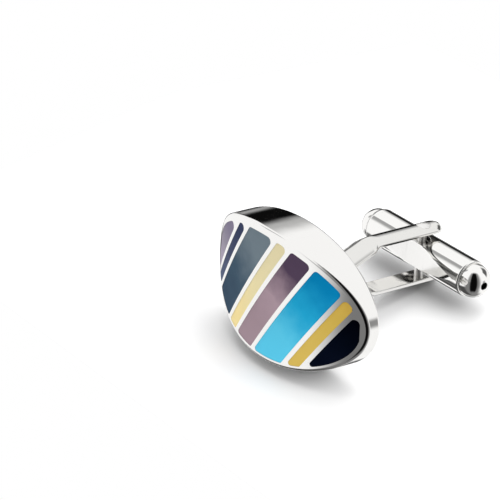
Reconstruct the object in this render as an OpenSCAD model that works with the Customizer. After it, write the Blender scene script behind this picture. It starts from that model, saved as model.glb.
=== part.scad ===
// Swivel-toggle cufflink with a crowned oval face and diagonal enamel stripes.
// X runs along the closed toggle and the face's long axis, Y from the face to the toggle, Z is up.
// The origin is the centre of the face's flat back, which lies on the cuff.

/* [Face] */
// Length of the oval face
face_l = 23.8; // [21:0.1:28]
// Width of the oval face
face_w = 13.7; // [12.5:0.1:17]
// Height of the face at its crest
crest_h = 4.8; // [4.2:0.1:6]
// Height of the side band at the two ends
end_h = 1.4; // [1.3:0.1:2.2]
// Thickness of the side band
band_t = 0.9; // [0.8:0.05:1.2]
// Thickness of the crowned front
front_t = 1.2; // [1:0.05:1.6]

/* [Enamel stripes] */
// Angle of the stripes to the long axis
stripe_a = 57; // [45:1:75]
// Width of the metal border round the enamel
border_w = 0.64; // [0.45:0.01:0.9]
// Width of the metal walls between the stripes
wire_w = 0.48; // [0.35:0.01:0.6]
// Depth of the recesses
recess_d = 0.5; // [0.3:0.05:0.6]
// Corner radius of the stripes along the upper edge
upper_cell_r = 0.45; // [0.2:0.05:0.5]
// Corner radius of the stripes along the lower edge
lower_cell_r = 0.25; // [0.15:0.05:0.4]
// How far the enamel as a whole lies below the middle of the oval
cell_shift = 0.14; // [0:0.02:0.2]
// How far the enamel lies below the metal
enamel_sink = 0.04; // [0.02:0.01:0.1]

/* [Back] */
// Thickness of the back plate
plate_t = 0.7; // [0.5:0.05:0.8]
// Width of the rim that shows round the back plate
rim_w = 0.5; // [0.4:0.05:0.7]
// Diameter of the foot pad
foot_d = 5.4; // [4.6:0.1:7]
// Thickness of the foot pad
foot_t = 0.5; // [0.4:0.05:0.8]

/* [Fork] */
// Distance from the back of the face to the axis of the toggle
post_l = 15.4; // [14.6:0.1:19]
// Width of the arms beside the toggle
arm_w = 2.3; // [1.8:0.1:2.8]
// Width of the legs near the face
leg_w = 3; // [2.4:0.1:3.6]
// Thickness of the strip
arm_t = 0.75; // [0.65:0.05:1]
// Gap between an arm and the toggle
arm_gap = 0.48; // [0.4:0.02:0.8]
// Gap between the two legs at the foot
stem_gap = 1.4; // [1:0.1:2.4]
// How far the centre of the round ends lies past the axis of the toggle
tip_reach = 0.4; // [0:0.1:1.2]

/* [Toggle] */
// Diameter of the toggle
toggle_d = 3.8; // [3.4:0.1:4.6]
// Length of the barrel between its caps
barrel_l = 14.6; // [12:0.2:16.4]
// Wall of the barrel
barrel_t = 0.9; // [0.75:0.05:1]
// Length of the straight part of each cap
collar_l = 0.14; // [0.08:0.02:0.4]
// Depth of the long scoop in the front of the barrel
scoop_d = 0.59; // [0.4:0.01:0.6]
// Depth of the flats beside the pin
flat_d = 0.55; // [0.3:0.05:0.6]
// Diameter of the drain holes in the caps
drain_d = 0.76; // [0.6:0.02:0.9]

/* [Pivot] */
// Diameter of the pin
pin_d = 0.92; // [0.75:0.01:1.05]
// Diameter of the rivet heads
head_d = 1.5; // [1.3:0.05:1.8]
// Height of the rivet heads
head_h = 0.14; // [0.08:0.02:0.2]
// How far the pin lies in front of the axis of the toggle
pin_offset = 0.55; // [0.3:0.05:0.6]
// Thickness of the leaf spring
spring_t = 0.18; // [0.12:0.02:0.24]

/* [Hidden] */
$fn = 96;

// One overrun serves every cut
over = 0.5;
// Clearance between pieces that are soldered, fired or pressed together
seat_gap = 0.01;
// Radial clearance of the barrel on its pin
run_gap = 0.04;

// Face
half_l = face_l / 2;
half_w = face_w / 2;
crown_drop = crest_h - end_h;
crown_r = (half_l * half_l + crown_drop * crown_drop) / (2 * crown_drop);
plate_inset = rim_w;
cavity_inset = max(band_t, rim_w + seat_gap);
outline_steps = 120;

// Stripes: walls are measured across the stripes, as shares of the face's half width that way
wire_shares = [-0.71, -0.57, -0.22, -0.05, 0.225, 0.58, 0.735];
half_span = sqrt(pow(half_l * sin(stripe_a), 2) + pow(half_w * cos(stripe_a), 2));
peak_t = atan2(-half_w * cos(stripe_a), half_l * sin(stripe_a));
round_share = 0.42;
arc_steps = 18;
corner_steps = 5;

// Toggle and pivot
toggle_r = toggle_d / 2;
bore_r = toggle_r - barrel_t;
flat_z = toggle_r - flat_d;
pin_r = pin_d / 2;
pin_y = post_l - pin_offset;
cam_side = pin_d / sqrt(2);
cam_half_h = bore_r * 0.8;
scoop_half = barrel_l * 0.465;
throat_half = barrel_l * 0.103;
flank_r = scoop_half * (scoop_half - throat_half) / (2 * scoop_d);
throat_r = flank_r * throat_half / (scoop_half - throat_half);
relief_r = toggle_r * 1.1;
relief_y = pin_y + pin_r * 1.1 - relief_r;
chamfer = barrel_t * 0.12;
cap_r = toggle_r * 0.9;
nose_r = drain_d * 0.62;
cap_l = collar_l + sqrt(cap_r * cap_r - nose_r * nose_r);
spigot_l = barrel_t * 1.3;
spring_half = barrel_l / 2 - spigot_l - 3 * seat_gap;
spring_w = bore_r * 1.2;
spring_y = pin_y + pin_r + 2 * seat_gap;
spring_seat = sqrt(bore_r * bore_r - spring_w * spring_w / 4);
spring_bow = max(post_l + spring_seat - spring_y - spring_t - 5 * seat_gap, seat_gap);
spring_r = (spring_half * spring_half + spring_bow * spring_bow) / (2 * spring_bow);

// Fork, as the middle line of its strip from the foot to the upper arm's end
toggle_half = barrel_l / 2 + cap_l;
arm_z = toggle_r + arm_gap + arm_t / 2;
stem_z = stem_gap / 2 + arm_t / 2;
bend_y = pin_y - toggle_half + toggle_r * 1.33;
foot_y = foot_t + arm_t / 2;
stem_share = 0.47;
stem_y = foot_y + (bend_y - foot_y) * stem_share;
tip_y = post_l + tip_reach + arm_w / 2;
fork_corners = [[foot_y, 0], [foot_y, stem_z], [stem_y, stem_z], [bend_y, arm_z], [tip_y, arm_z]];
fork_radii = [0, stem_z * 0.65, arm_t * 3.6, arm_t * 3.6, 0];
shoulder_y = bend_y - arm_t;

// Places a flat outline drawn in X and Z, so that it runs from y0 to y1
module slab(y0, y1) translate([0, y1, 0]) rotate([90, 0, 0]) linear_extrude(y1 - y0) children();

// Point of the oval at angle t, drawn in by d along its normal
function oval_point(t, d) =
    let (n = [half_w * cos(t), half_l * sin(t)])
    [half_l * cos(t), half_w * sin(t)] - d * n / norm(n);

// The same for the field of enamel, which lies a little low
function field_point(t, d) = oval_point(t, d) - [0, cell_shift];

function oval(d) = [for (i = [0 : outline_steps - 1]) oval_point(360 * i / outline_steps, d)];

// Distance of a point across the stripes
function across(p) = p[0] * sin(stripe_a) - p[1] * cos(stripe_a);

// Angle from the peak, on the given side, at which the drawn-in oval lies at distance c
function reach(c, d, side, low = 0, high = 180, n = 24) =
    let (mid = (low + high) / 2)
    n == 0 ? mid :
    across(field_point(peak_t + side * mid, d)) > c ? reach(c, d, side, mid, high, n - 1) :
    reach(c, d, side, low, mid, n - 1);

// Angle of the outward normal of the oval at angle t
function normal_a(t) = atan2(half_l * sin(t), half_w * cos(t));

function arc(c, r, a0, a1) =
    [for (i = [0 : corner_steps]) let (a = a0 + (a1 - a0) * i / corner_steps) c + r * [cos(a), sin(a)]];

// Angle b, moved by whole turns to within half a turn of a
function near_angle(a, b) = b - 360 * round((b - a) / 360);

// Corner of a stripe where the oval meets a wall. The arc runs from angle a0 to angle a1.
function corner(c, d, r, side, a0, a1) =
    let (t = peak_t + side * reach(c, d + r, side)) arc(field_point(t, d + r), r, a0, near_angle(a0, a1));

// Outline of the stripe between distances c0 and c1, drawn in by d all round. The first and the last
// stripe run out to the end of the oval. The corners have radius ru above and rl below.
function stripe(c0, c1, first, last, d, ru, rl) =
    let (
        edge = border_w + d, wall_a = stripe_a - 90,
        up0 = last ? 0 : reach(c1 - d - ru, edge + ru, 1), up1 = first ? 180 : reach(c0 + d + ru, edge + ru, 1),
        dn0 = last ? 0 : reach(c1 - d - rl, edge + rl, -1), dn1 = first ? 180 : reach(c0 + d + rl, edge + rl, -1),
        top = [for (i = [0 : arc_steps]) field_point(peak_t + up0 + (up1 - up0) * i / arc_steps, edge)],
        bottom = [for (i = [0 : arc_steps]) field_point(peak_t - dn1 + (dn1 - dn0) * i / arc_steps, edge)],
        n0 = normal_a(peak_t + up0), n1 = normal_a(peak_t + up1),
        n2 = normal_a(peak_t - dn1), n3 = normal_a(peak_t - dn0)
    )
    concat(
        last ? [] : corner(c1 - d - ru, edge, ru, 1, wall_a, n0),
        top,
        first ? [] : corner(c0 + d + ru, edge, ru, 1, n1, wall_a + 180),
        first ? [] : corner(c0 + d + rl, edge, rl, -1, wall_a + 180, n2),
        bottom,
        last ? [] : corner(c1 - d - rl, edge, rl, -1, n3, wall_a)
    );

cell_count = len(wire_shares) + 1;
function wire_at(i) = wire_shares[i] * half_span;
function cell(i, d) =
    let (
        first = i == 0, last = i == cell_count - 1,
        c0 = first ? -half_span : wire_at(i - 1) + wire_w / 2,
        c1 = last ? half_span : wire_at(i) - wire_w / 2,
        largest_r = (c1 - c0) * round_share
    )
    stripe(c0, c1, first, last, d, min(upper_cell_r, largest_r) - d, min(lower_cell_r, largest_r) - d);

// Everything behind a crown that lies d below the front
module crown(d) translate([0, crown_r - crest_h, 0]) cylinder(r = crown_r - d, h = 2 * face_w, center = true);

module face_shell() color("gainsboro") difference() {
    intersection() {
        slab(-crest_h - over, 0) polygon(oval(0));
        crown(0);
    }
    intersection() {
        slab(-crest_h, -plate_t + over) polygon(oval(cavity_inset));
        crown(front_t);
    }
    slab(-plate_t - seat_gap, over) polygon(oval(plate_inset));
    for (i = [0 : cell_count - 1]) difference() {
        slab(-crest_h - over, -plate_t) polygon(cell(i, 0));
        crown(recess_d);
    }
}

module enamel(i) intersection() {
    slab(-crest_h, -plate_t) polygon(cell(i, seat_gap));
    difference() {
        crown(enamel_sink);
        crown(recess_d - seat_gap);
    }
}

module enamel_lilac() color([0.62, 0.60, 0.68]) enamel(0);
module enamel_indigo() color([0.26, 0.29, 0.46]) enamel(1);
module enamel_slate() color([0.33, 0.40, 0.47]) enamel(2);
module enamel_cream() color([0.97, 0.91, 0.70]) enamel(3);
module enamel_mauve() color([0.52, 0.44, 0.50]) enamel(4);
module enamel_turquoise() color([0.16, 0.63, 0.82]) enamel(5);
module enamel_ochre() color([0.80, 0.67, 0.33]) enamel(6);
module enamel_navy() color([0.02, 0.03, 0.09]) enamel(7);

module back_plate() color("silver") slab(-plate_t, 0) polygon(oval(plate_inset + seat_gap));

module foot_pad() color("silver") translate([0, foot_t, 0]) rotate([90, 0, 0]) cylinder(d = foot_d, h = foot_t);

// Unit direction from p to q
function heading(p, q) = (q - p) / norm(q - p);

// Points of a corner b between a and c, rounded with radius r
function rounded(a, b, c, r) =
    r == 0 ? [b] :
    let (
        u = heading(b, a), v = heading(b, c),
        half = acos(u * v) / 2,
        centre = b + heading([0, 0], u + v) * r / sin(half),
        p = b + u * r / tan(half), q = b + v * r / tan(half),
        a0 = atan2(p[1] - centre[1], p[0] - centre[0]),
        a1 = near_angle(a0, atan2(q[1] - centre[1], q[0] - centre[0]))
    )
    arc(centre, r, a0, a1);

// The strip's middle line, with its bends rounded
last_corner = len(fork_corners) - 1;
fork_line = [for (i = [0 : last_corner])
    each i == 0 || i == last_corner ? [fork_corners[i]]
        : rounded(fork_corners[i - 1], fork_corners[i], fork_corners[i + 1], fork_radii[i])];

// The middle line moved sideways by d, seen in Y and Z
function beside(line, d) = [for (i = [0 : len(line) - 1])
    let (h = heading(line[max(i - 1, 0)], line[min(i + 1, len(line) - 1)])) line[i] + d * [-h[1], h[0]]];

function reversed(line) = [for (i = [len(line) - 1 : -1 : 0]) line[i]];
function below(line) = [for (p = line) [p[0], -p[1]]];

// Outline of the arms and legs seen from above
module fork_plan() {
    translate([0, tip_y - arm_w / 2]) circle(d = arm_w);
    polygon([[-leg_w / 2, 0], [leg_w / 2, 0], [leg_w / 2, shoulder_y], [arm_w / 2, bend_y],
             [arm_w / 2, tip_y - arm_w / 2], [-arm_w / 2, tip_y - arm_w / 2], [-arm_w / 2, bend_y],
             [-leg_w / 2, shoulder_y]]);
}

module fork() color("gainsboro") {
    inner = beside(fork_line, -arm_t / 2);
    outer = beside(fork_line, arm_t / 2);
    difference() {
        intersection() {
            rotate([90, 0, 90]) linear_extrude(2 * leg_w, center = true)
                polygon(concat(reversed(below(outer)), outer, reversed(inner), below(inner)));
            linear_extrude(3 * toggle_d + 4 * arm_t, center = true) fork_plan();
        }
        translate([0, pin_y, 0]) cylinder(r = pin_r + seat_gap, h = 4 * arm_z, center = true);
    }
}

module rivet_head() rotate_extrude($fn = 48) intersection() {
    dome_r = (head_d * head_d / 4 + head_h * head_h) / (2 * head_h);
    translate([0, head_h - dome_r]) circle(r = dome_r, $fn = 96);
    square([head_d / 2, head_h]);
}

module pivot_pin() color("silver") translate([0, pin_y, 0]) {
    shank = arm_z + arm_t / 2;
    difference() {
        cylinder(r = pin_r, h = 2 * shank, center = true);
        difference() {
            cube([2 * pin_d, 2 * pin_d, 2 * cam_half_h], center = true);
            cube([cam_side, cam_side, 2 * cam_half_h + over], center = true);
        }
    }
    for (side = [0, 1]) mirror([0, 0, side]) translate([0, 0, shank]) rivet_head();
}

// The scoop in the front: a hollow throat, with a flank each side that eases out into the round
module scoop() {
    intersection() {
        translate([0, scoop_d - throat_r, 0]) cylinder(r = throat_r, h = 2 * toggle_d, center = true, $fn = 192);
        cube([2 * throat_half, 2 * toggle_r, 3 * toggle_d], center = true);
    }
    for (side = [0, 1]) mirror([side, 0, 0]) difference() {
        translate([throat_half, -toggle_r, -toggle_d]) cube([scoop_half - throat_half, 2 * toggle_r, 2 * toggle_d]);
        translate([scoop_half, flank_r, 0]) cylinder(r = flank_r, h = 3 * toggle_d, center = true, $fn = 360);
    }
}

module toggle_barrel() color("gainsboro") difference() {
    translate([0, post_l, 0]) rotate([0, 90, 0]) {
        cylinder(r = toggle_r, h = barrel_l - 2 * chamfer, center = true);
        for (side = [0, 1]) mirror([0, 0, side]) translate([0, 0, barrel_l / 2 - chamfer])
            cylinder(r1 = toggle_r, r2 = toggle_r - chamfer, h = chamfer);
    }
    translate([0, post_l, 0]) rotate([0, 90, 0]) cylinder(r = bore_r, h = barrel_l + over, center = true);
    translate([0, post_l - toggle_r, 0]) scoop();
    for (side = [0, 1]) mirror([0, 0, side]) translate([0, relief_y, flat_z]) cylinder(r = relief_r, h = toggle_d);
    translate([0, pin_y, 0]) cylinder(r = pin_r + run_gap, h = 2 * toggle_d, center = true);
}

// A cap drawn pointing up: a spigot, a shoulder and a domed nose with a drain hole
module cap() rotate_extrude($fn = 48) difference() {
    union() {
        translate([0, -spigot_l]) square([bore_r - seat_gap, spigot_l + seat_gap]);
        square([cap_r, collar_l]);
        intersection() {
            translate([0, collar_l]) circle(r = cap_r, $fn = 48);
            translate([0, collar_l]) square([cap_r, cap_l - collar_l]);
        }
    }
    translate([0, -spigot_l - over]) square([drain_d / 2, spigot_l + cap_l + 2 * over]);
}

module place_cap(side) translate([0, post_l, 0]) mirror([side, 0, 0])
    translate([barrel_l / 2 + seat_gap, 0, 0]) rotate([0, 90, 0]) cap();

module near_cap() color("gainsboro") place_cap(0);
module far_cap() color("gainsboro") place_cap(1);

module leaf_spring() color("lightsteelblue") intersection() {
    translate([0, spring_y + spring_r, 0]) difference() {
        cylinder(r = spring_r, h = spring_w, center = true, $fn = 360);
        cylinder(r = spring_r - spring_t, h = spring_w + over, center = true, $fn = 360);
    }
    translate([0, post_l, 0]) cube([2 * spring_half, 2 * toggle_d, 2 * spring_w], center = true);
}

face_shell();
back_plate();
foot_pad();
fork();
pivot_pin();
toggle_barrel();
near_cap();
far_cap();
leaf_spring();
enamel_lilac();
enamel_indigo();
enamel_slate();
enamel_cream();
enamel_mauve();
enamel_turquoise();
enamel_ochre();
enamel_navy();
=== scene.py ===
from math import cos, radians, sin
import bmesh
import bpy
from mathutils import Matrix, Vector


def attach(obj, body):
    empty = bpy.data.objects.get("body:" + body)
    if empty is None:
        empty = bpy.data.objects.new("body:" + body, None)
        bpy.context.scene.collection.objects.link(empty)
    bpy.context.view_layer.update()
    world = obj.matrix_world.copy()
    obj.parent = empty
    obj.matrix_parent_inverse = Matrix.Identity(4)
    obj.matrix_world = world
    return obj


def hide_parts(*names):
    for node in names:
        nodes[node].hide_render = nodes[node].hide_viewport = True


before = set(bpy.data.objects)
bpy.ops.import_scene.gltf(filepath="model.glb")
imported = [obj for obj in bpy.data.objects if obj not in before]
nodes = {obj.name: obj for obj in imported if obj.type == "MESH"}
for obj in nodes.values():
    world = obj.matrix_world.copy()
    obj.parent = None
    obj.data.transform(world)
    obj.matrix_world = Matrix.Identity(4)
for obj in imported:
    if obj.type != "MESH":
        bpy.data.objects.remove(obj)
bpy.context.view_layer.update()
scene = bpy.context.scene
mm = 0.001
print("frame loaded:", len(nodes), "nodes")


# sRGB hex to the linear values that Blender's sockets take
def hexColour(text):
    parts = [int(text[i:i + 2], 16) / 255 for i in (1, 3, 5)]
    return [c / 12.92 if c <= 0.04045 else ((c + 0.055) / 1.055) ** 2.4 for c in parts] + [1.0]


# One node with its settings. An input is given by its name, or by its number as i0, i1 and so on, and is
# either a socket to link or a value to set.
def addNode(tree, kind, settings=None, **inputs):
    node = tree.nodes.new(kind)
    for name, value in (settings or {}).items():
        setattr(node, name, value)
    for name, value in inputs.items():
        byNumber = name[0] == "i" and name[1:].isdigit()
        socket = node.inputs[int(name[1:])] if byNumber else node.inputs[name.replace("_", " ")]
        if isinstance(value, bpy.types.NodeSocket):
            tree.links.new(value, socket)
        else:
            socket.default_value = value
    return node


def setRamp(node, stops):
    ramp = node.color_ramp
    while len(ramp.elements) < len(stops):
        ramp.elements.new(0.5)
    for element, (place, colour) in zip(ramp.elements, stops):
        element.position = place
        element.color = colour


def newMaterial(name):
    material = bpy.data.materials.new(name)
    material.use_nodes = True
    tree = material.node_tree
    return material, tree, tree.nodes["Principled BSDF"]


# Rhodium plate, polished on a mop: a bright mirror whose surface sways a little where the mop has leaned.
# grain is the size in mm of the tool's marks along each axis, and sway the height in mm of the waves, whose
# length is wave. Real marks are finer than a pixel, so they are drawn coarser. contrast is the part of the
# noise that they use.
polish = dict(contrast=(0.3, 0.7), wave=2.2)


def brightMetal(name, colour, roughness, grain, sway):
    material, tree, shader = newMaterial(name)
    shader.inputs["Base Color"].default_value = hexColour(colour)
    shader.inputs["Metallic"].default_value = 1.0
    place = addNode(tree, "ShaderNodeTexCoord").outputs["Object"]
    stretched = addNode(tree, "ShaderNodeMapping", Vector=place, Scale=[1 / (g * mm) for g in grain])
    marks = addNode(tree, "ShaderNodeTexNoise", Vector=stretched.outputs[0], Scale=1.0, Detail=2.0)
    spread = addNode(tree, "ShaderNodeMapRange", Value=marks.outputs[0], From_Min=polish["contrast"][0],
                     From_Max=polish["contrast"][1], To_Min=roughness[0], To_Max=roughness[1])
    tree.links.new(spread.outputs[0], shader.inputs["Roughness"])
    waves = addNode(tree, "ShaderNodeTexNoise", Vector=place, Scale=1 / (polish["wave"] * mm), Detail=1.0)
    bump = addNode(tree, "ShaderNodeBump", Height=waves.outputs[0], Strength=1.0, Distance=sway * mm)
    tree.links.new(bump.outputs[0], shader.inputs["Normal"])
    return material


# The grain runs the way that each piece was made. The face and the turned toggle are the clearest mirrors.
# The fork is a little softer, as it is polished after it is bent, and the mop hardly reaches the face's
# back or the pin between the arms. The spring is bare rolled steel, greyer and lined along its length.
metals = {
    "face": brightMetal("RhodiumPlatedFace", "#f5f4f2", roughness=(0.04, 0.09),
                        grain=(1.2, 1.2, 0.3), sway=0.010),
    "rear": brightMetal("RhodiumPlatedRear", "#e4e3e1", roughness=(0.12, 0.22),
                        grain=(4.0, 4.0, 0.12), sway=0.012),
    # The strip's plate colour is set darker than the face's, as painted shade for the fork's greyer look.
    "strip": brightMetal("RhodiumPlatedStrip", "#e9e8e5", roughness=(0.07, 0.13),
                         grain=(0.3, 2.5, 2.5), sway=0.012),
    "turned": brightMetal("RhodiumPlatedTurned", "#f9f8f6", roughness=(0.03, 0.08),
                          grain=(0.15, 2.5, 2.5), sway=0.006),
    "barrel": brightMetal("RhodiumPlatedBarrel", "#f9f8f6", roughness=(0.03, 0.08),
                          grain=(0.15, 2.5, 2.5), sway=0.006),
    "drawn": brightMetal("RhodiumPlatedDrawn", "#f8f7f5", roughness=(0.36, 0.44),
                         grain=(0.4, 0.4, 2.0), sway=0.004),
    "spring": brightMetal("SpringSteelStrip", "#8f949b", roughness=(0.16, 0.28),
                          grain=(3.0, 0.3, 0.1), sway=0.004),
}

# The scoop is pressed into the barrel once it is turned, and the mop reaches into it less. clear gives the
# distances in mm from the barrel's axis between which its dullness ends.
toggleAxis = 15.4  # mm from the back of the face to the toggle's long axis
scoop = dict(clear=(1.76, 1.88), dullness=0.14)


def dullScoop(material):
    tree = material.node_tree
    rough = tree.nodes["Principled BSDF"].inputs["Roughness"]
    turned = rough.links[0].from_socket
    place = addNode(tree, "ShaderNodeTexCoord").outputs["Object"]
    moved = addNode(tree, "ShaderNodeVectorMath", {"operation": "SUBTRACT"},
                    i0=place, i1=(0, toggleAxis * mm, 0))
    across = addNode(tree, "ShaderNodeVectorMath", {"operation": "MULTIPLY"},
                     i0=moved.outputs[0], i1=(0, 1, 1))
    away = addNode(tree, "ShaderNodeVectorMath", {"operation": "LENGTH"}, i0=across.outputs[0])
    dull = addNode(tree, "ShaderNodeMapRange", Value=away.outputs["Value"],
                   From_Min=scoop["clear"][0] * mm, From_Max=scoop["clear"][1] * mm,
                   To_Min=scoop["dullness"], To_Max=0.0)
    both = addNode(tree, "ShaderNodeMath", {"operation": "ADD"}, i0=turned, i1=dull.outputs[0])
    tree.links.new(both.outputs[0], rough)


dullScoop(metals["barrel"])
print("metals polished:", len(metals))

# Each piece is its CAD solid with the edges that its maker breaks rounded over. edge is that radius in mm,
# steps the number of facets across it, and sharp the angle from which an edge is broken. rounds names the
# piece's round surfaces, so that they shade as true rounds: an axis or a centre in mm, and a radius. The
# first that fits a facet is taken, so the scoop's come before the barrel's, on which its corners lie too.
faceOval = (11.9, 6.85)  # half of the face's length and of its width, in mm
faceShell = dict(metal="face", slot="polished_metal", body="face", edge=0.25, steps=5, sharp=28, rounds=[
    dict(axis="Z", at=(0, 17.725), radius=22.525), dict(axis="Z", at=(0, 17.725), radius=22.025),
    dict(axis="Z", at=(0, 17.725), radius=21.325), dict(oval=faceOval)])
backPlate = dict(metal="rear", slot="plate_metal", body="face", edge=0.04, steps=2, sharp=28, rounds=[])
footPad = dict(metal="rear", slot="plate_metal", body="face", edge=0.10, steps=3, sharp=28, rounds=[
    dict(axis="Y", at=(0, 0), radius=2.7)])
fork = dict(metal="strip", slot="fork_metal", body="face", edge=0.08, steps=2, sharp=40, rounds=[
    dict(axis="Z", at=(0, 15.8), radius=1.15)], crowned=True)
pivotPin = dict(metal="drawn", slot="pin_metal", body="face", edge=0.03, steps=2, sharp=28, rounds=[
    dict(axis="Z", at=(0, 14.85), radius=0.46)])
toggleBarrel = dict(metal="barrel", slot="toggle_metal", body="toggle", edge=0.05, steps=2, sharp=35, rounds=[
    dict(axis="Z", at=(6.789, 43.908), radius=30.408), dict(axis="Z", at=(-6.789, 43.908), radius=30.408),
    dict(axis="Z", at=(0, 5.438), radius=8.652), dict(axis="Z", at=(0, 13.266), radius=2.09),
    dict(axis="Z", at=(0, 14.85), radius=0.5), dict(axis="X", at=(toggleAxis, 0), radius=1.9),
    dict(axis="X", at=(toggleAxis, 0), radius=1.0)])
nearCap = dict(metal="turned", slot="toggle_metal", body="toggle", edge=0.06, steps=3, sharp=28, rounds=[
    dict(axis="X", at=(toggleAxis, 0), radius=1.71), dict(centre=(7.45, toggleAxis, 0), radius=1.71)])
farCap = dict(metal="turned", slot="toggle_metal", body="toggle", edge=0.06, steps=3, sharp=28, rounds=[
    dict(axis="X", at=(toggleAxis, 0), radius=1.71), dict(centre=(-7.45, toggleAxis, 0), radius=1.71)])
leafSpring = dict(metal="spring", slot="spring_steel", body="toggle", edge=0.03, steps=1, sharp=28, rounds=[])
pieces = {"face_shell": faceShell, "back_plate": backPlate, "foot_pad": footPad, "fork": fork,
          "pivot_pin": pivotPin, "toggle_barrel": toggleBarrel, "near_cap": nearCap, "far_cap": farCap,
          "leaf_spring": leafSpring}

# How a solid's triangles are read back as surfaces. weld is the mm under which corners are one, and flat the
# degrees under which facets are one face. A face under slim square mm is only a step between two surfaces,
# with no edge to break. A face is on a round if its corners are within closeBy mm of it, and aligned is
# how far the two have to face the same way, as a cosine.
reading = dict(weld=0.006, flat=0.3, slim=0.03, closeBy=0.016, aligned=0.97)


# How far a point lies off a round, and the direction in which the round faces there
def offRound(point, surface):
    p = point / mm
    if "oval" in surface:
        a, b = surface["oval"]
        way = Vector((p.x / a ** 2, 0, p.z / b ** 2))
        off = ((p.x / a) ** 2 + (p.z / b) ** 2 - 1) / (2 * max(way.length, 0.01))  # its middle has no way
        return abs(off), way.normalized()
    if "centre" in surface:
        way = p - Vector(surface["centre"])
    else:
        u, v = surface["at"]
        way = {"X": Vector((0, p.y - u, p.z - v)), "Y": Vector((p.x - u, 0, p.z - v)),
               "Z": Vector((p.x - u, p.y - v, 0))}[surface["axis"]]
    return abs(way.length - surface["radius"]), way.normalized()


# The front rim of the face is mopped rounder than the rest. sharp is in degrees, and rearmost in mm. An edge
# is on a rim where the oval's sum of squares, which is 1 on the oval itself, is over this value of oval.
frontRim = dict(radius=0.32, steps=6, sharp=30, rearmost=-1.0, oval=0.985)


def isRim(edge):
    a, b = faceOval
    return min((v.co.x / a) ** 2 + (v.co.z / b) ** 2 for v in edge.verts) > frontRim["oval"] * mm ** 2


def isFrontRim(edge):
    if not edge.is_manifold or edge.calc_face_angle() < radians(frontRim["sharp"]):
        return False
    return isRim(edge) and max(v.co.y for v in edge.verts) < frontRim["rearmost"] * mm


# The hole for the pin keeps its crisp edge under the rivet's head
pinHole = dict(distance=14.85, radius=0.6)


def isPinHole(edge):
    axis = Vector((0, pinHole["distance"])) * mm
    return max((v.co.xy - axis).length for v in edge.verts) < pinHole["radius"] * mm


# The strips of a rounded edge are known by their material index until their normals are set
def roundEdges(mesh, edges, radius, steps):
    made = bmesh.ops.bevel(mesh, geom=edges, offset=radius * mm, offset_type="OFFSET", affect="EDGES",
                           segments=steps, profile=0.5, material=-1, clamp_overlap=False)
    for face in made["faces"]:
        face.material_index = 1


# The lips at the barrel's two ends are rolled rounder than the CAD's chamfers, so the outer ring of each
# chamfer, outside of this radius, moves in from chamferStart to rollStart. The slanting facets beyond
# innermost are then the roll. All are in mm, but for slant, which is the range of how far they face along X.
lips = dict(chamferStart=7.192, rollStart=6.95, outside=1.85, innermost=6.9, slant=(0.15, 0.95))


def openLips(mesh):
    for v in mesh.verts:
        away = Vector((v.co.y - toggleAxis * mm, v.co.z)).length
        atChamfer = abs(abs(v.co.x) - lips["chamferStart"] * mm) < 0.01 * mm
        if atChamfer and away > lips["outside"] * mm:
            v.co.x = (lips["rollStart"] if v.co.x > 0 else -lips["rollStart"]) * mm
    mesh.normal_update()
    least, most = lips["slant"]
    for face in mesh.faces:
        atEnd = min(abs(v.co.x) for v in face.verts) > lips["innermost"] * mm
        if atEnd and least < abs(face.normal.x) < most:
            face.material_index = 1


# The fork is rolled from strip with a crowned outer side, of this radius, and its outer edges are rounded
# by edge. cuts divide it lengthwise, so that the crown has facets. The arms' bend ends at bendEnd along Y.
# An outer face lies more than middle from the middle, and faces along Z by more than the share facing.
crown = dict(radius=2.7, edge=0.58, steps=8, cuts=(-0.5, -0.25, 0.0, 0.25, 0.5), bendEnd=9.5, middle=1.1,
             facing=0.3)
rivetHead = 3.12  # mm from the middle, beyond which the pin's heads follow the crown


def outwards(face):
    centre = face.calc_center_median()
    facesOut = face.normal.z * centre.z > 0 and abs(face.normal.z) > crown["facing"]
    return facesOut and abs(centre.z) > crown["middle"] * mm


# How far the crown falls away at a distance from the strip's middle line
def crownDrop(x):
    return x ** 2 / (2 * crown["radius"] * mm)


def crownStrip(mesh):
    for x in crown["cuts"]:
        bmesh.ops.bisect_plane(mesh, geom=list(mesh.verts) + list(mesh.edges) + list(mesh.faces),
                               plane_co=(x * mm, 0, 0), plane_no=(1, 0, 0))
    mesh.normal_update()
    for v in mesh.verts:
        if v.normal.z * v.co.z > 0 and any(outwards(f) for f in v.link_faces):
            inBend = v.co.y < crown["bendEnd"] * mm
            v.co -= Vector((0, v.normal.y * inBend, v.normal.z)) * crownDrop(v.co.x)


def crownRivet(mesh):
    for v in mesh.verts:
        if abs(v.co.z) > rivetHead * mm:
            v.co.z -= (1 if v.co.z > 0 else -1) * crownDrop(v.co.x)


# The round that a face of the CAD solid lies on, if it lies on one
def roundUnder(face, plan):
    for surface in plan["rounds"]:
        marks = [offRound(v.co, surface) for v in face.verts]
        facing = sum((way for off, way in marks), Vector()).normalized()
        near = max(off for off, way in marks) < reading["closeBy"]
        if near and abs(facing.dot(face.normal)) > reading["aligned"]:
            return surface
    return None


# bend is how alike two flats face, as a cosine, to shade as one bent sheet, and small the share of the
# largest flat's area under which another doesn't count. blend is how alike the faces beside a rounded
# edge face the largest of them, to be mixed with it.
shading = dict(bend=0.93, small=0.2, blend=0.9)


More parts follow.
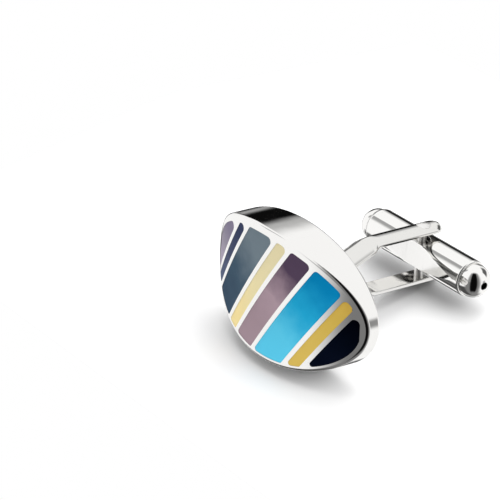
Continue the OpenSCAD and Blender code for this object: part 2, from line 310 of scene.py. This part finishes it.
# Corner normals: a face on a round takes the round's own direction, a flat face is flat, and a rounded
# edge runs from the one to the other
def cornerNormals(mesh, plan, strips):
    mesh.normal_update()
    found = {face: roundUnder(face, plan) for face in mesh.faces if face not in strips}

    # a bend made of flats takes the mean of its neighbours, and a large flat beside it stays flat
    def flatFacing(face, vert):
        alike = [f for f in vert.link_faces
                 if f not in strips and f.normal.dot(face.normal) > shading["bend"]]
        least = shading["small"] * max(f.calc_area() for f in alike)
        return sum((f.normal for f in alike if f.calc_area() > least), Vector()).normalized()

    def facingAt(face, vert):
        surface = found[face]
        if surface is None and "crowned" in plan and outwards(face):
            way = flatFacing(face, vert)
            way.x = 0
            return (way.normalized() + Vector((vert.co.x / mm / crown["radius"], 0, 0))).normalized()
        if surface is None:
            return flatFacing(face, vert)
        way = offRound(vert.co, surface)[1]
        return way if way.dot(face.normal) > 0 else -way

    # a corner of a strip takes the facing of what the edge runs into, or else the mean of the strips there
    def stripFacing(vert):
        beside = {f: facingAt(f, vert) for f in vert.link_faces if f not in strips}
        if not beside:
            return sum((f.normal * f.calc_area() for f in vert.link_faces), Vector()).normalized()
        main = beside[max(beside, key=lambda f: f.calc_area())]
        return sum((way for way in beside.values() if way.dot(main) > shading["blend"]), Vector()).normalized()

    return [stripFacing(loop.vert) if face in strips else facingAt(face, loop.vert)
            for face in mesh.faces for loop in face.loops]


# The bevels give their facets in an order that changes from run to run, so all are put in order along a
# slanting direction in which no two are level
def putInOrder(mesh):
    slanting = Vector((1.41421, 1.73205, 2.23607))
    mesh.verts.sort(key=lambda v: v.co.dot(slanting))
    mesh.faces.sort(key=lambda f: f.calc_center_median().dot(slanting))


def polishedPiece(name, plan):
    mesh = bmesh.new()
    mesh.from_mesh(nodes[name].data)
    bmesh.ops.remove_doubles(mesh, verts=mesh.verts, dist=reading["weld"] * mm)
    bmesh.ops.dissolve_limit(mesh, angle_limit=radians(reading["flat"]), verts=mesh.verts, edges=mesh.edges)
    if name == "face_shell":
        front = [e for e in mesh.edges if isFrontRim(e)]
        roundEdges(mesh, front, frontRim["radius"], frontRim["steps"])
    if name == "toggle_barrel":
        openLips(mesh)
    slim = reading["slim"] * mm ** 2
    broken = [e for e in mesh.edges if e.is_manifold and e.calc_face_angle() > radians(plan["sharp"])
              and not any(f.material_index or f.calc_area() < slim for f in e.link_faces)]
    if name == "face_shell":
        broken = [e for e in broken if isRim(e)]
    if name == "fork":
        broken = [e for e in broken if not isPinHole(e)]
        outer = [e for e in broken if any(outwards(f) for f in e.link_faces)]
        broken = [e for e in broken if e not in outer]
        roundEdges(mesh, outer, crown["edge"], crown["steps"])
    roundEdges(mesh, [e for e in broken if e.is_valid], plan["edge"], plan["steps"])
    if name == "fork":
        crownStrip(mesh)
    if name == "pivot_pin":
        crownRivet(mesh)
    putInOrder(mesh)
    strips = {f for f in mesh.faces if f.material_index}
    mesh.faces.index_update()
    normals = cornerNormals(mesh, plan, strips)
    for face in mesh.faces:
        face.smooth = True
        face.material_index = 0
    piece = bpy.data.objects.new(name + "_polished", bpy.data.meshes.new(name + "_polished"))
    mesh.to_mesh(piece.data)
    mesh.free()
    piece.data.normals_split_custom_set(normals)
    scene.collection.objects.link(piece)
    piece.data.materials.append(metals[plan["metal"]])
    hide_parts(name)
    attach(piece, plan["body"])
    return piece


for name, plan in pieces.items():
    piece = polishedPiece(name, plan)
    print("polished", name, "with", len(piece.data.polygons), "faces")

# The enamels. low, middle and high are the colours along a stripe from its lower end, a painted reflection
# that lightens some stripes and darkens others towards one end, where their glass would mirror the tent's
# bright and dark parts. centre is its middle in mm along and across the face, and reach half its length.
enamels = {
    "enamel_lilac": dict(low="#bab0c4", middle="#a9a2b1", high="#958da4", centre=(-9.6, 1.0), reach=3.0),
    "enamel_indigo": dict(low="#646e88", middle="#565d78", high="#454d6b", centre=(-8.0, 1.2), reach=5.0),
    "enamel_slate": dict(low="#415366", middle="#4b6072", high="#7e8d97", centre=(-5.0, 0.0), reach=6.0),
    "enamel_cream": dict(low="#fbe6a6", middle="#fceeba", high="#fcefc0", centre=(-1.7, 0.0), reach=6.0),
    "enamel_mauve": dict(low="#a69099", middle="#b59da8", high="#59485e", centre=(1.1, 0.4), reach=5.2),
    "enamel_turquoise": dict(low="#5ccbec", middle="#26abd9", high="#0a86bd", centre=(5.0, 0.2), reach=5.2),
    "enamel_ochre": dict(low="#d8b95c", middle="#d2b252", high="#c5a047", centre=(8.4, 0.6), reach=4.4),
    "enamel_navy": dict(low="#070c1a", middle="#030711", high="#020207", centre=(10.0, -1.0), reach=3.4),
}
stripeAngle = radians(57)

# What all the enamels share. cloud and bubble are sizes in mm, drift how far a cloud moves the colours along
# the stripe, stops where the three colours stand on it, bubbleShare how much of a bubble's cell is sunk, and
# pit its depth in mm. gloss is the range of roughness. The photographer's polarising filter takes the gleam
# off slanting glass, and not off metal, so it falls to nothing at gleamEnd, where 0 is straight on.
fired = dict(cloud=1.6, cloudDetail=4.0, drift=0.28, stops=(0.12, 0.5, 0.88), ior=1.5, gloss=(0.05, 0.16),
             gleam=0.5, gleamEnd=0.15, bubble=0.4, bubbleShare=0.08, pit=0.004)


# Vitreous enamel: powdered glass fired into the recess, ground level and fired again. The eye gets deep,
# slightly clouded colour under a glassy skin, with pinhole bubbles, which are drawn larger than they are.
def firedEnamel(name, plan):
    material, tree, shader = newMaterial("VitreousEnamel" + name.split("_")[1].capitalize())
    place = addNode(tree, "ShaderNodeTexCoord").outputs["Object"]
    x, z = plan["centre"]
    moved = addNode(tree, "ShaderNodeVectorMath", {"operation": "SUBTRACT"},
                    i0=place, i1=(x * mm, 0, z * mm))
    steep = (cos(stripeAngle) / (plan["reach"] * mm), 0, sin(stripeAngle) / (plan["reach"] * mm))
    along = addNode(tree, "ShaderNodeVectorMath", {"operation": "DOT_PRODUCT"}, i0=moved.outputs[0], i1=steep)
    cloud = addNode(tree, "ShaderNodeTexNoise", Vector=place, Scale=1 / (fired["cloud"] * mm),
                    Detail=fired["cloudDetail"])
    drift = addNode(tree, "ShaderNodeMapRange", Value=cloud.outputs[0], To_Min=-fired["drift"],
                    To_Max=fired["drift"])
    drifted = addNode(tree, "ShaderNodeMath", {"operation": "ADD"},
                      i0=along.outputs["Value"], i1=drift.outputs[0])
    share = addNode(tree, "ShaderNodeMapRange", Value=drifted.outputs[0], From_Min=-1.0, From_Max=1.0)
    # This ramp is the painted reflection: it runs the three colours along the stripe, so the stripe is lighter
    # or darker towards one end.
    paintedReflection = addNode(tree, "ShaderNodeValToRGB", Fac=share.outputs[0])
    colours = [hexColour(plan[end]) for end in ("low", "middle", "high")]
    setRamp(paintedReflection, list(zip(fired["stops"], colours)))
    tree.links.new(paintedReflection.outputs[0], shader.inputs["Base Color"])
    shader.inputs["IOR"].default_value = fired["ior"]
    slant = addNode(tree, "ShaderNodeLayerWeight", Blend=0.5).outputs["Facing"]
    gleam = addNode(tree, "ShaderNodeMapRange", Value=slant, From_Min=0.0, From_Max=fired["gleamEnd"],
                    To_Min=fired["gleam"], To_Max=0.0)
    tree.links.new(gleam.outputs[0], shader.inputs["Specular IOR Level"])
    gloss = addNode(tree, "ShaderNodeMapRange", Value=cloud.outputs[0], To_Min=fired["gloss"][0],
                    To_Max=fired["gloss"][1])
    tree.links.new(gloss.outputs[0], shader.inputs["Roughness"])
    cells = addNode(tree, "ShaderNodeTexVoronoi", Vector=place, Scale=1 / (fired["bubble"] * mm))
    pits = addNode(tree, "ShaderNodeMapRange", Value=cells.outputs[0], From_Max=fired["bubbleShare"])
    bump = addNode(tree, "ShaderNodeBump", Height=pits.outputs[0], Distance=fired["pit"] * mm)
    tree.links.new(bump.outputs[0], shader.inputs["Normal"])
    return material


for name, plan in enamels.items():
    nodes[name].data.materials.clear()
    nodes[name].data.materials.append(firedEnamel(name, plan))
print("enamels fired:", len(enamels))

# A sheet of matt white paper, laid so that the cufflink rests on its rim and its fork's end, as it does in
# the photograph. profile runs from front to back as distance and height, sides is its reach along X and ease
# the radius of its bends, all in mm.
paper = dict(profile=[(-17, -9.7), (-12, -9.55), (20.4, -2.25), (58, -2.25)], sides=(-52, 62), ease=3.0,
             easeSteps=8, white="#f7f7f7", roughness=0.9)


def layPaper():
    mesh = bmesh.new()
    points = [mesh.verts.new((paper["sides"][0] * mm, y * mm, z * mm)) for y, z in paper["profile"]]
    line = [mesh.edges.new(pair) for pair in zip(points, points[1:])]
    bmesh.ops.extrude_edge_only(mesh, edges=line)
    mesh.verts.ensure_lookup_table()
    for v in mesh.verts[len(points):]:
        v.co.x = paper["sides"][1] * mm
    roundEdges(mesh, [e for e in mesh.edges if e.is_manifold], paper["ease"], paper["easeSteps"])
    bmesh.ops.recalc_face_normals(mesh, faces=mesh.faces)
    if sum(f.normal.z for f in mesh.faces) < 0:
        bmesh.ops.reverse_faces(mesh, faces=mesh.faces)
    for face in mesh.faces:
        face.smooth = True
    sheet = bpy.data.objects.new("paper", bpy.data.meshes.new("paper"))
    mesh.to_mesh(sheet.data)
    mesh.free()
    scene.collection.objects.link(sheet)
    material, tree, shader = newMaterial("MattWhitePaper")
    shader.inputs["Base Color"].default_value = hexColour(paper["white"])
    shader.inputs["Roughness"].default_value = paper["roughness"]
    shader.inputs["Specular IOR Level"].default_value = 0.0
    sheet.data.materials.append(material)
    sheet.visible_glossy = False  # polished metal shows the tent, and not its own shadow on the paper


layPaper()
print("paper laid")

# The light tent is white all round, and plain white to the camera. What falls on matt things is a plain
# light from above the level, which is frontFill on the photographer's side and rearFill on the other. level
# and turn are how far it takes, either side of the middle, to come in and to change from one to the other.
tent = dict(walls="#ffffff", backdrop="#ffffff", frontFill=0.5, rearFill=1.05, level=0.08, turn=0.5)

# flags are what polished metal shows of the room: the dark opening for the camera between its grey
# curtains, the shaded table, the dark foot of the rear wall with the grey above it and beside it, the post
# on the right and a seam in the left wall. bearing is in degrees from -Y towards +X, height in degrees
# above the level, and soft is the blur in degrees at the two sides and at the bottom and the top.
flags = [
    dict(name="table", bearing=(-100, 112), height=(-120, -48), soft=(12, 12, 5, 12), shade="#808080"),
    dict(name="tableRear", bearing=(100, 280), height=(-120, -62), soft=(12, 12, 5, 10), shade="#808080"),
    dict(name="tableFront", bearing=(-70, 40), height=(-120, -32), soft=(14, 8, 5, 5), shade="#4a4a4a"),
    dict(name="tableLeft", bearing=(-122, -64), height=(-120, -38), soft=(10, 10, 5, 5), shade="#4c4c4c"),
    dict(name="leftCurtain", bearing=(-8, 40), height=(-120, 14), soft=(14, 7, 5, 9), shade="#7a7a7a"),
    dict(name="rightCurtain", bearing=(70, 98), height=(-62, 68), soft=(6, 14, 8, 8), shade="#7c7c7c"),
    dict(name="upperLeft", bearing=(10, 40), height=(10, 68), soft=(9, 5, 5, 6), shade="#8c8c8c"),
    dict(name="opening", bearing=(29, 77), height=(-62, 72), soft=(6, 6, 12, 8), shade="#0a0a0a"),
    dict(name="rearWall", bearing=(208, 238), height=(-24, 28), soft=(6, 5, 9, 5), shade="#b8b8b8"),
    dict(name="rearRight", bearing=(153, 196), height=(12, 42), soft=(5, 8, 6, 4), shade="#606060"),
    dict(name="behind", bearing=(218, 250), height=(-54, -8), soft=(6, 6, 8, 6), shade="#363636"),
    dict(name="rearFoot", bearing=(212, 254), height=(-3, 19), soft=(6, 6, 6, 3.5), shade="#0c0c0c"),
    dict(name="post", bearing=(114, 132), height=(-12, 6), soft=(7, 7, 6, 5), shade="#8c8c8c"),
    dict(name="seam", bearing=(-70, -54), height=(26, 54), soft=(2, 5, 4, 4), shade="#a4a4a4"),
]


def hangTent():
    world = bpy.data.worlds.new("lightTent")
    scene.world = world
    world.use_nodes = True
    tree = world.node_tree
    tree.nodes.clear()
    toward = addNode(tree, "ShaderNodeTexCoord").outputs["Generated"]
    x, y, z = addNode(tree, "ShaderNodeSeparateXYZ", Vector=toward).outputs
    forward = addNode(tree, "ShaderNodeMath", {"operation": "MULTIPLY"}, i0=y, i1=-1.0).outputs[0]
    turned = addNode(tree, "ShaderNodeMath", {"operation": "ARCTAN2"}, i0=x, i1=forward).outputs[0]
    degrees = addNode(tree, "ShaderNodeMath", {"operation": "DEGREES"}, i0=turned).outputs[0]
    bearing = addNode(tree, "ShaderNodeMath", {"operation": "WRAP"}, i0=degrees, i1=270.0, i2=-90.0)
    raised = addNode(tree, "ShaderNodeMath", {"operation": "ARCSINE"}, i0=z).outputs[0]
    height = addNode(tree, "ShaderNodeMath", {"operation": "DEGREES"}, i0=raised)

    # 1 between the two limits, with a soft edge at each
    def between(value, limits, softs):
        for limit, soft, (low, high) in zip(limits, softs, ((0.0, 1.0), (1.0, 0.0))):
            yield addNode(tree, "ShaderNodeMapRange", {"interpolation_type": "SMOOTHSTEP"}, Value=value,
                          From_Min=limit - soft, From_Max=limit + soft, To_Min=low, To_Max=high).outputs[0]

    walls = hexColour(tent["walls"])
    for flag in flags:
        parts = list(between(bearing.outputs[0], flag["bearing"], flag["soft"][:2]))
        parts += between(height.outputs[0], flag["height"], flag["soft"][2:])
        mask = parts[0]
        for part in parts[1:]:
            mask = addNode(tree, "ShaderNodeMath", {"operation": "MULTIPLY"}, i0=mask, i1=part).outputs[0]
        walls = addNode(tree, "ShaderNodeMix", {"data_type": "RGBA"}, i0=mask, i6=walls,
                        i7=hexColour(flag["shade"])).outputs[2]

    path = addNode(tree, "ShaderNodeLightPath")
    above = addNode(tree, "ShaderNodeMapRange", Value=z, From_Min=-tent["level"], From_Max=tent["level"])
    rear = addNode(tree, "ShaderNodeMapRange", {"interpolation_type": "SMOOTHSTEP"}, Value=y,
                   From_Min=-tent["turn"], From_Max=tent["turn"],
                   To_Min=tent["frontFill"], To_Max=tent["rearFill"])
    fill = addNode(tree, "ShaderNodeMath", {"operation": "MULTIPLY"}, i0=above.outputs[0], i1=rear.outputs[0])
    light = addNode(tree, "ShaderNodeMix", {"data_type": "RGBA"}, i0=path.outputs["Diffuse Depth"],
                    i6=walls, i7=fill.outputs[0])
    seen = addNode(tree, "ShaderNodeMix", {"data_type": "RGBA"}, i0=path.outputs["Is Camera Ray"],
                   i6=light.outputs[2], i7=hexColour(tent["backdrop"]))
    background = addNode(tree, "ShaderNodeBackground", Color=seen.outputs[2], Strength=1.0)
    addNode(tree, "ShaderNodeOutputWorld", Surface=background.outputs[0])


hangTent()

# Three wide softboxes overhead give the soft shadows, and a low reflector lights the face from the front.
# Places and sizes are in mm.
lamps = {
    "overhead": dict(at=(0, 20, 300), size=300, watts=0.34),
    "upperLeft": dict(at=(-150, 130, 250), size=300, watts=0.26),
    "upperRight": dict(at=(230, 60, 170), size=200, watts=0.38),
    "reflector": dict(at=(40, -255, 40), size=200, watts=0.23),
}


def hangLamp(name, plan):
    data = bpy.data.lights.new(name, "AREA")
    data.shape = "DISK"
    data.size = plan["size"] * mm
    data.energy = plan["watts"]
    lamp = bpy.data.objects.new(name, data)
    lamp.location = Vector(plan["at"]) * mm
    lamp.rotation_euler = lamp.location.to_track_quat("Z", "Y").to_euler()
    lamp.visible_glossy = False
    scene.collection.objects.link(lamp)


for name, plan in lamps.items():
    hangLamp(name, plan)
print("tent and lamps hung")

# The camera's place in mm and its axes, worked out from the photograph's edges. lens and sensor are in mm,
# and clip in metres.
camera = dict(at=(179.778, -147.165, 109.871), right=(0.590784, 0.804319, 0.063602),
              up=(-0.371238, 0.200996, 0.906523), back=(0.716350, -0.559170, 0.417339),
              lens=190.44, sensor=36.0, clip=(0.01, 10.0))


def placeCamera():
    data = bpy.data.cameras.new("camera")
    data.lens = camera["lens"]
    data.sensor_width = camera["sensor"]
    data.clip_start, data.clip_end = camera["clip"]
    view = bpy.data.objects.new("camera", data)
    turn = Matrix((camera["right"], camera["up"], camera["back"])).transposed().to_4x4()
    view.matrix_world = Matrix.Translation(Vector(camera["at"]) * mm) @ turn
    scene.collection.objects.link(view)
    scene.camera = view


placeCamera()
scene.view_settings.view_transform = "Standard"
print("camera placed")
